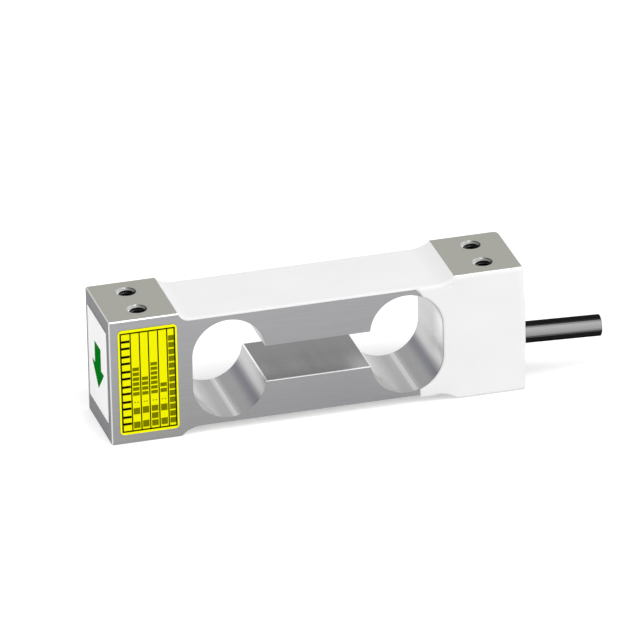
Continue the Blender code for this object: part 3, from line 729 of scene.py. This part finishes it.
def in_frame(nodes):
    """The nameplate inside its plain margin."""
    x, _, z = nodes.split(nodes.place)
    low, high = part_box("nameplate")
    across = nodes.within(x, (low.x + high.x) / 2, (high.x - low.x) / 2 - PRINT_MARGIN_SIDE)
    upward = nodes.within(z, (low.z + high.z) / 2, (high.z - low.z) / 2 - PRINT_MARGIN_END)
    return nodes.times(across, upward)


def foil(name, colour, dark, gloss, margin=None):
    """A smooth sheet with faint waves from the surface under it; a margin round it can be lighter."""
    nodes = Nodes(name)
    waves = nodes.noise(FOIL_WAVES)
    fine = nodes.noise(FOIL_GRAIN, 1)
    sheet = nodes.blend(waves, colour, dark)
    if margin is not None:
        sheet = nodes.mix(in_frame(nodes), margin, sheet)
    nodes.set(Base_Color=sheet, Roughness=nodes.spread(fine, *FOIL_ROUGHNESS), Specular_IOR_Level=gloss)
    nodes.bump(waves, *FOIL_RELIEF)
    return nodes.material


def ink(name, colour):
    """Matt print, slightly uneven in thickness."""
    nodes = Nodes(name)
    fine = nodes.noise(INK_GRAIN)
    nodes.set(Base_Color=nodes.mix(nodes.spread(fine, 0, INK_SHARE), colour, BLACK))
    nodes.set(Roughness=nodes.spread(fine, *INK_ROUGHNESS), Specular_IOR_Level=INK_GLOSS)
    nodes.bump(fine, *INK_RELIEF)
    return nodes.material


def jacket():
    """Black plastic with faint lines along it: glossy seen straight on, dull at its edges and where cut."""
    nodes = Nodes("jacket_black")
    lines = nodes.noise(JACKET_LINES)
    colour = nodes.blend(lines, *JACKET_TONES)
    nodes.set(Base_Color=colour, Roughness=nodes.spread(lines, *JACKET_ROUGHNESS), IOR=JACKET_IOR)
    nodes.bump(lines, *JACKET_RELIEF)
    dull = nodes.add("ShaderNodeBsdfDiffuse")
    nodes.join(colour, dull.inputs["Color"])
    turned = nodes.add("ShaderNodeLayerWeight").outputs["Facing"]
    fading = nodes.fade(turned, *JACKET_FADE, 0.0, 1.0, "SMOOTHSTEP")
    cut_end = nodes.above(nodes.facing()[0], CUT_FACING)
    both = nodes.add("ShaderNodeMixShader")
    nodes.join(nodes.larger(fading, cut_end), both.inputs[0])
    nodes.join(nodes.shader.outputs[0], both.inputs[1])
    nodes.join(dull.outputs[0], both.inputs[2])
    nodes.join(both.outputs[0], nodes.tree.nodes["Material Output"].inputs["Surface"])
    return nodes.material


def speckled(name, colour, roughness, metallic=0.0, relief=SPECKLE_RELIEF):
    """A material whose colour, roughness and relief all vary a little."""
    nodes = Nodes(name)
    fine = nodes.noise((SPECKLE_GRAIN,) * 3)
    waves = nodes.noise((SPECKLE_WAVES,) * 3)
    shade = nodes.times(nodes.spread(fine, *SPECKLE_SHADE), nodes.spread(waves, *SPECKLE_WAVE_SHADE))
    nodes.set(Base_Color=nodes.scaled(colour, shade), Metallic=metallic)
    nodes.set(Roughness=nodes.spread(waves, roughness - SPECKLE_ROUGHNESS, roughness + SPECKLE_ROUGHNESS))
    nodes.bump(fine, relief)
    return nodes.material


ALUMINIUM = aluminium()
THREAD_METAL = thread_metal()
SILICONE = silicone()
FOIL_YELLOW = foil("foil_yellow", (0.905, 0.885, 0, 1), (0.875, 0.855, 0, 1), YELLOW_GLOSS, (1, 1, 0, 1))
FOIL_WHITE = foil("foil_white", grey(0.98), grey(0.96), WHITE_GLOSS)
INK_BLACK = ink("ink_black", grey(0.004))
INK_LINES = ink("ink_lines", (0.03, 0.03, 0, 1))
INK_MARKS = ink("ink_marks", (0.2, 0.2, 0, 1))
INK_GREEN = ink("ink_green", (0.002, 0.21, 0.014, 1))

# What each carried-over solid is made of, by how its name starts
NODE_MATERIALS = {
    "strain_gauge": speckled("gauge_film", (0.62, 0.36, 0.10), 0.35),
    "gauge_lead": speckled("lead_enamel", (0.50, 0.16, 0.07), 0.30, metallic=0.6),
    "terminal_board": speckled("board_green", (0.03, 0.18, 0.07), 0.40),
    "zero_balance_resistor": speckled("resistor_black", (0.02, 0.02, 0.02), 0.35),
    "span_resistor": speckled("resistor_black_span", (0.02, 0.02, 0.02), 0.35),
    "cable_shield": speckled("shield_tin", (0.60, 0.60, 0.60), 0.35, metallic=1.0, relief=WOUND_RELIEF),
    "core_red": speckled("core_red", (0.60, 0.02, 0.02), 0.40),
    "core_black": speckled("core_black", (0.02, 0.02, 0.02), 0.40),
    "core_green": speckled("core_green", (0.02, 0.30, 0.08), 0.40),
    "core_white": speckled("core_white", (0.85, 0.85, 0.83), 0.40),
    "conductor": speckled("copper", (0.80, 0.36, 0.20), 0.30, metallic=1.0, relief=WOUND_RELIEF),
    "cable_jacket": jacket(),
    "beam": ALUMINIUM,
    "nameplate": FOIL_YELLOW,
    "load_direction_label": FOIL_WHITE,
}

for name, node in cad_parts.items():
    for start, surface in NODE_MATERIALS.items():
        if name.startswith(start):
            node.data.materials.clear()
            node.data.materials.append(surface)


# Coat of sealant


def fillet_run(radius):
    """How far a recess's fillet runs along the beam from the block's face."""
    return math.sqrt(radius**2 - (radius - RECESS_DEPTH) ** 2)


def climb(distance, run, rise):
    """How far a hollow curve has climbed, at a distance from the block's edge where it ends."""
    radius = (run**2 + rise**2) / (2 * rise)
    reach = min(max(run - distance, 0), run)
    return radius - math.sqrt(radius**2 - reach**2)


def metal_climb(x, radius):
    """The metal's height over the recess's floor."""
    run = fillet_run(radius)
    return climb(x - FREE_BLOCK, run, RECESS_DEPTH) + climb(CABLE_BLOCK - x, run, RECESS_DEPTH)


def skin_climb(x, run_free, run_cable):
    """The coat's height over the recess's floor."""
    rise = RECESS_DEPTH - COAT_ON_RECESS
    return COAT_ON_RECESS + climb(x - FREE_BLOCK, run_free, rise) + climb(CABLE_BLOCK - x, run_cable, rise)


def skin_ring(x, near, far, shoulder, up, level, fillet, runs):
    """Across the beam at x: flanks sunk in the metal, and the skin between its two rounded corners."""
    metal = metal_climb(x, fillet)
    skin = skin_climb(x, *runs)
    if x < FREE_BLOCK or x > CABLE_BLOCK:
        skin = RECESS_DEPTH - UPRIGHT_FILM
        metal = skin - COAT_SINK
        near = max(near, FRONT + COAT_SINK)
        far = min(far, BACK - COAT_SINK)
    back = min(COAT_ROUNDING, (skin - metal) * COAT_ROUNDING_SHARE)
    front = min(shoulder, skin + COAT_SINK) if shoulder > COAT_ROUNDING else back
    low = min(metal, skin - front)
    points = [(near + COAT_KEY / 2, -COAT_SINK), (near, low)]
    points += arc((near + front, skin - front), front, 180, 90)
    points += arc((far - back, skin - back), back, 90, 0)
    points += [(far, metal), (far - COAT_KEY / 2, -COAT_SINK)]
    return [(x, y, level + up * height) for y, height in points]


def add_top_skin(bm, near, shoulder, places):
    runs = (COAT_RUN_FREE, COAT_RUN_CABLE)
    rings = []
    for x in places:
        rings.append(skin_ring(x, near, BACK, shoulder, 1, FLOOR_TOP, RECESS_FILLET_TOP, runs))
    add_loft(bm, rings)


def top_skin(bm):
    """Over the top recess: level with the beam's front, and from the front coat on with a soft shoulder."""
    places = stations(FREE_BLOCK - COAT_SINK, FREE_BLOCK - VOXEL, 1)
    places += stations(FREE_BLOCK + UPRIGHT_FILM, FREE_BLOCK + COAT_RUN_FREE, STATION_STEPS)
    add_top_skin(bm, FRONT, 0, [*places, COAT_LEFT])
    places = stations(CABLE_BLOCK - COAT_RUN_CABLE, CABLE_BLOCK - UPRIGHT_FILM, STATION_STEPS)
    places += stations(CABLE_BLOCK + VOXEL, CABLE_BLOCK + COAT_SINK, 1)
    add_top_skin(bm, COAT_FRONT, COAT_SHOULDER, [COAT_LEFT, *places])


def front_outline():
    """The coat on the front of the cable end, as (x, z) points."""
    rim = OPENING_RADIUS + COAT_MARGIN
    upper = (OPENING_CABLE, TOP / 2 + OPENING_STRAIGHT)
    lower = (OPENING_CABLE, TOP / 2 - OPENING_STRAIGHT)
    edge = COAT_LEFT - OPENING_CABLE
    meet = math.degrees(math.acos(edge / rim))
    points = [(COAT_LEFT, FLOOR_TOP - COAT_MARGIN)]
    points += arc(upper, rim, meet - COAT_SHOULDER_TURN, 0, RIM_STEPS)
    points += arc(lower, rim, 0, -meet, RIM_STEPS)
    hem = RECESS_DEPTH - COAT_HEM
    points += [(COAT_LEFT, hem)]
    run = fillet_run(RECESS_FILLET_BOTTOM)
    drop = hem - COAT_EDGE_BELOW
    hollow = (run**2 + drop**2) / (2 * drop)
    sweep = math.degrees(math.asin(run / hollow))
    points += arc((CABLE_BLOCK - run, hem - hollow), hollow, 90, 90 - sweep)
    corner = (CABLE_END - COAT_CORNER, COAT_EDGE_BELOW + COAT_CORNER)
    points += arc(corner, COAT_CORNER, -90, 0)
    points += [(CABLE_END, UPRIGHT_LOW), (CABLE_END - UPRIGHT_ROUNDING, UPRIGHT_LOW + COAT_BLEND)]
    points += [(CABLE_END - UPRIGHT_ROUNDING, COAT_TOP), (CABLE_BLOCK, COAT_TOP)]
    points += [(CABLE_BLOCK - COAT_BLEND, FLOOR_TOP - COAT_BLEND), (COAT_LEFT, FLOOR_TOP - COAT_BLEND)]
    return points


def front_coat(bm):
    add_panel(bm, front_outline(), COAT_FRONT, FRONT + COAT_SINK)


def mound_ring(z):
    """Level with z: round the upright edge from the front coat, then over the end face as a low mound."""
    inside = min(z - MOUND_LOW, MOUND_HIGH - z)
    if inside > 0:
        notch = max(MOUND_CORNER - inside, 0)
        depth = MOUND_DEPTH - (MOUND_CORNER - math.sqrt(MOUND_CORNER**2 - notch**2))
        height = max(COAT_END * math.sin(min(inside / MOUND_SLOPE, 1) * math.pi / 2), UPRIGHT_SKIN)
    else:
        depth = UPRIGHT_ROUNDING + MOUND_SLOPE / 4
        height = UPRIGHT_SKIN
    rounding = UPRIGHT_ROUNDING
    points = [(CABLE_END - 2 * rounding, COAT_FRONT)]
    points += arc((CABLE_END + height - rounding, COAT_FRONT + rounding), rounding, -90, 0)
    start = COAT_FRONT + rounding
    slope = min(MOUND_SLOPE, (FRONT + depth - start) / 2)
    for step in range(ARC_STEPS + 1):
        turn = step / ARC_STEPS * math.pi / 2
        points.append((CABLE_END + height * math.cos(turn), FRONT + depth - slope + slope * math.sin(turn)))
    points += [(CABLE_END - COAT_SINK, FRONT + depth)]
    points += [(CABLE_END - COAT_SINK, FRONT + rounding), (CABLE_END - 2 * rounding, FRONT + COAT_SINK)]
    return [(x, y, z) for x, y in points]


def mound(bm):
    heights = stations(MOUND_LOW + UPRIGHT_FILM, MOUND_LOW + MOUND_CORNER, STATION_STEPS)
    heights += stations(MOUND_HIGH - MOUND_CORNER, MOUND_HIGH - UPRIGHT_FILM, STATION_STEPS)
    heights += [MOUND_HIGH + UPRIGHT_FILM, COAT_TOP]
    add_loft(bm, [mound_ring(z) for z in heights])


def bridge_below(bm):
    """Where the leads pass under the beam's front edge, the front coat runs on under the recess."""
    right = CABLE_BLOCK - fillet_run(RECESS_FILLET_BOTTOM)
    outline = rectangle(COAT_LEFT, RECESS_DEPTH - COAT_ON_RECESS, right, RECESS_DEPTH + COAT_SINK)
    add_panel(bm, outline, COAT_FRONT + COAT_MARGIN, FRONT + 2 * COAT_INSET_BELOW)


def make_coat():
    bm = bmesh.new()
    for add in (top_skin, front_coat, mound, bridge_below):
        add(bm)
    coat = finish_mesh("sealant_coat", bm, SILICONE, ["sealant"])
    remesh = coat.modifiers.new("one_skin", "REMESH")
    remesh.mode = "VOXEL"
    remesh.voxel_size = VOXEL
    smooth = coat.modifiers.new("surface_tension", "SMOOTH")
    smooth.factor = SMOOTHING_SHARE
    smooth.iterations = SMOOTHING_STEPS
    apply_modifiers(coat)


def make_coat_below():
    bm = bmesh.new()
    runs = (COAT_RUN_BELOW, COAT_RUN_BELOW)
    places = stations(FREE_BLOCK + COAT_BLEND, FREE_BLOCK + COAT_RUN_BELOW, STATION_STEPS)
    places += stations(CABLE_BLOCK - COAT_RUN_BELOW, CABLE_BLOCK - COAT_BLEND, STATION_STEPS)
    near = FRONT + COAT_INSET_BELOW
    far = BACK - COAT_INSET_BELOW
    rings = [skin_ring(x, near, far, 0, -1, RECESS_DEPTH, RECESS_FILLET_BOTTOM, runs) for x in places]
    add_loft(bm, rings)
    finish_mesh("sealant_below", bm, SILICONE, ["sealant"])


# Threads


def add_thread(bm, x, y, level, up):
    """One helical ridge on the wall of a tapped hole, from near its mouth inwards."""
    wall = THREAD_MAJOR / 2 + THREAD_ROOT_SINK
    crest = THREAD_MINOR / 2
    half = THREAD_PITCH / 2
    section = [(wall, -half), (crest, -half / 4), (crest, half / 4), (wall, half)]
    turns = (THREAD_DEPTH - THREAD_START) / THREAD_PITCH
    rings = []
    for step in range(int(turns * THREAD_STEPS) + 1):
        angle = math.tau * step / THREAD_STEPS
        depth = THREAD_START + THREAD_PITCH * step / THREAD_STEPS
        ring = []
        for radius, rise in section:
            height = level - up * (depth + rise)
            ring.append((x + radius * math.cos(angle), y + radius * math.sin(angle), height))
        rings.append(ring)
    add_loft(bm, rings)


def make_threads():
    bm = bmesh.new()
    for x in (FREE_END + HOLE_INSET, CABLE_END - HOLE_INSET):
        for y in (-HOLE_PITCH / 2, HOLE_PITCH / 2):
            add_thread(bm, x, y, TOP, 1)
            add_thread(bm, x, y, 0, -1)
    finish_mesh("thread_ridges", bm, THREAD_METAL)


# Print on the labels


class Nameplate:
    """The ruled frame on the nameplate, its columns and the depths between which the print lies."""

    def __init__(self):
        low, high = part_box("nameplate")
        self.left = low.x + PRINT_MARGIN_SIDE
        self.right = high.x - PRINT_MARGIN_SIDE
        self.bottom = low.z + PRINT_MARGIN_END
        self.top = high.z - PRINT_MARGIN_END
        self.depths = (low.y - PRINT_HEIGHT, low.y + PRINT_HEIGHT)
        self.walls = [self.left + share * (self.right - self.left) for share in COLUMNS]

    def add(self, bm, left, bottom, right, top):
        add_panel(bm, rectangle(left, bottom, right, top), *self.depths)

    def down(self, share):
        """The height at a share of the frame's height from its top."""
        return self.top - share * (self.top - self.bottom)


def print_lines(plate):
    lines = bmesh.new()
    low = plate.bottom + FRAME_LINE
    high = plate.top - FRAME_LINE
    for edge in (plate.left, plate.right - FRAME_LINE):
        plate.add(lines, edge, plate.bottom, edge + FRAME_LINE, plate.top)
    for edge in (plate.bottom, high):
        plate.add(lines, plate.left + FRAME_LINE, edge, plate.right - FRAME_LINE, edge + FRAME_LINE)
    for wall in plate.walls[1:-1]:
        plate.add(lines, wall - DIVIDER_LINE / 2, low, wall + DIVIDER_LINE / 2, high)
    finish_mesh("nameplate_lines", lines, INK_LINES)


def add_blocks(bm, plate, column, first, pitch, blocks, height, width):
    """One row of blocks down a column."""
    left, right = plate.walls[column - 1:column + 1]
    middle = (left + right) / 2
    half = width * (right - left) / 2
    stripes = ((0, 1),)
    if column == HEAVY_COLUMN:
        stripes = ((0, HEAVY_STRIPE), (1 - HEAVY_STRIPE, 1))
    for block in range(blocks):
        for upper, lower in stripes:
            head = plate.down(first + block * pitch + upper * height)
            foot = plate.down(first + block * pitch + lower * height)
            plate.add(bm, middle - half, foot, middle + half, head)


def add_dots(bm, plate):
    half = DOT_SIZE / 2
    level = plate.down(DOT_PLACE)
    for near, far in zip(plate.walls[1:-2], plate.walls[2:-1]):
        for side in (-1, 1):
            middle = (near + far) / 2 + side * DOT_SPREAD * (far - near)
            plate.add(bm, middle - half, level - half, middle + half, level + half)


def print_nameplate():
    plate = Nameplate()
    print_lines(plate)
    heavy = bmesh.new()
    light = bmesh.new()
    for row in BLOCKS:
        add_blocks(heavy if row[0] == HEAVY_COLUMN else light, plate, *row)
    add_dots(light, plate)
    finish_mesh("nameplate_blocks_heavy", heavy, INK_BLACK)
    finish_mesh("nameplate_blocks_light", light, INK_MARKS)


def print_arrow():
    low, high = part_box("load_direction_label")
    middle = (low.y + high.y) / 2 + ARROW_SHIFT
    shaft = ARROW_SHAFT / 2
    head = ARROW_HEAD / 2
    outline = [(0, ARROW_TIP), (head, ARROW_SHOULDER), (shaft, ARROW_SHOULDER), (shaft, ARROW_TAIL)]
    outline += [(-shaft, ARROW_TAIL), (-shaft, ARROW_SHOULDER), (-head, ARROW_SHOULDER)]
    bm = bmesh.new()
    rings = []
    for x in (low.x - PRINT_HEIGHT, low.x + PRINT_HEIGHT):
        rings.append([(x, middle + across, z) for across, z in outline])
    add_loft(bm, rings)
    finish_mesh("load_arrow", bm, INK_GREEN)


# Studio


def make_floor():
    """Pale paper under the object, that the camera sees as nearly white apart from the shadow."""
    bm = bmesh.new()
    half = FLOOR_SIZE / 2
    corners = rectangle(-half, -half, half, half)
    bm.faces.new([bm.verts.new((x, y, -FLOOR_GAP)) for x, y in corners])
    mesh = bpy.data.meshes.new("floor")
    bm.to_mesh(mesh)
    bm.free()
    floor = bpy.data.objects.new("floor", mesh)
    bpy.context.scene.collection.objects.link(floor)
    nodes = Nodes("floor_paper")
    paper = nodes.blend(nodes.noise(PAPER_GRAIN), *PALE_TONES)
    nodes.set(Base_Color=paper, Roughness=PAPER_ROUGHNESS, Specular_IOR_Level=0)
    nodes.set(Emission_Color=WHITE, Emission_Strength=nodes.times(nodes.direct_rays(), FLOOR_GLOW))
    mesh.materials.append(nodes.material)


def make_world():
    """White where the camera sees it, and dimmer as a light."""
    world = bpy.data.worlds.new("studio")
    bpy.context.scene.world = world
    world.use_nodes = True
    nodes = Tree(world.node_tree)
    background = world.node_tree.nodes["Background"]
    background.inputs["Color"].default_value = WHITE
    nodes.join(nodes.fade(nodes.direct_rays(), 0, 1, SKY_DIFFUSE, 1.0), background.inputs["Strength"])


def aimed(azimuth, elevation):
    """The turn of a lamp or camera that looks at the middle from an azimuth and an elevation."""
    return Matrix.Rotation(azimuth, 4, "Z") @ Matrix.Rotation(math.radians(90) - elevation, 4, "X")


def make_lamp(name, azimuth, elevation, distance, size, power):
    """A soft square lamp aimed at the middle of the beam."""
    data = bpy.data.lights.new(name, "AREA")
    data.shape = "SQUARE"
    data.size = size
    data.energy = power
    lamp = bpy.data.objects.new(name, data)
    bpy.context.scene.collection.objects.link(lamp)
    turn = aimed(math.radians(azimuth), math.radians(elevation))
    lamp.matrix_world = Matrix.Translation(MIDDLE) @ turn @ Matrix.Translation((0, 0, distance))


def make_camera():
    data = bpy.data.cameras.new("camera")
    data.sensor_width = SENSOR
    data.lens = FOCAL_LENGTH
    data.clip_start = CLIP_START
    data.clip_end = CLIP_END
    camera = bpy.data.objects.new("camera", data)
    bpy.context.scene.collection.objects.link(camera)
    turn = aimed(AZIMUTH, ELEVATION) @ Matrix.Rotation(ROLL, 4, "Z")
    place = Matrix.Translation((SUBJECT_LEFT, SUBJECT_DOWN, DISTANCE))
    camera.matrix_world = Matrix.Translation(MIDDLE) @ turn @ place
    bpy.context.scene.camera = camera


make_coat()
make_coat_below()
make_threads()
print_nameplate()
print_arrow()
make_floor()
make_world()
for lamp in LAMPS:
    make_lamp(*lamp)
make_camera()
bpy.context.scene.view_settings.view_transform = "Standard"
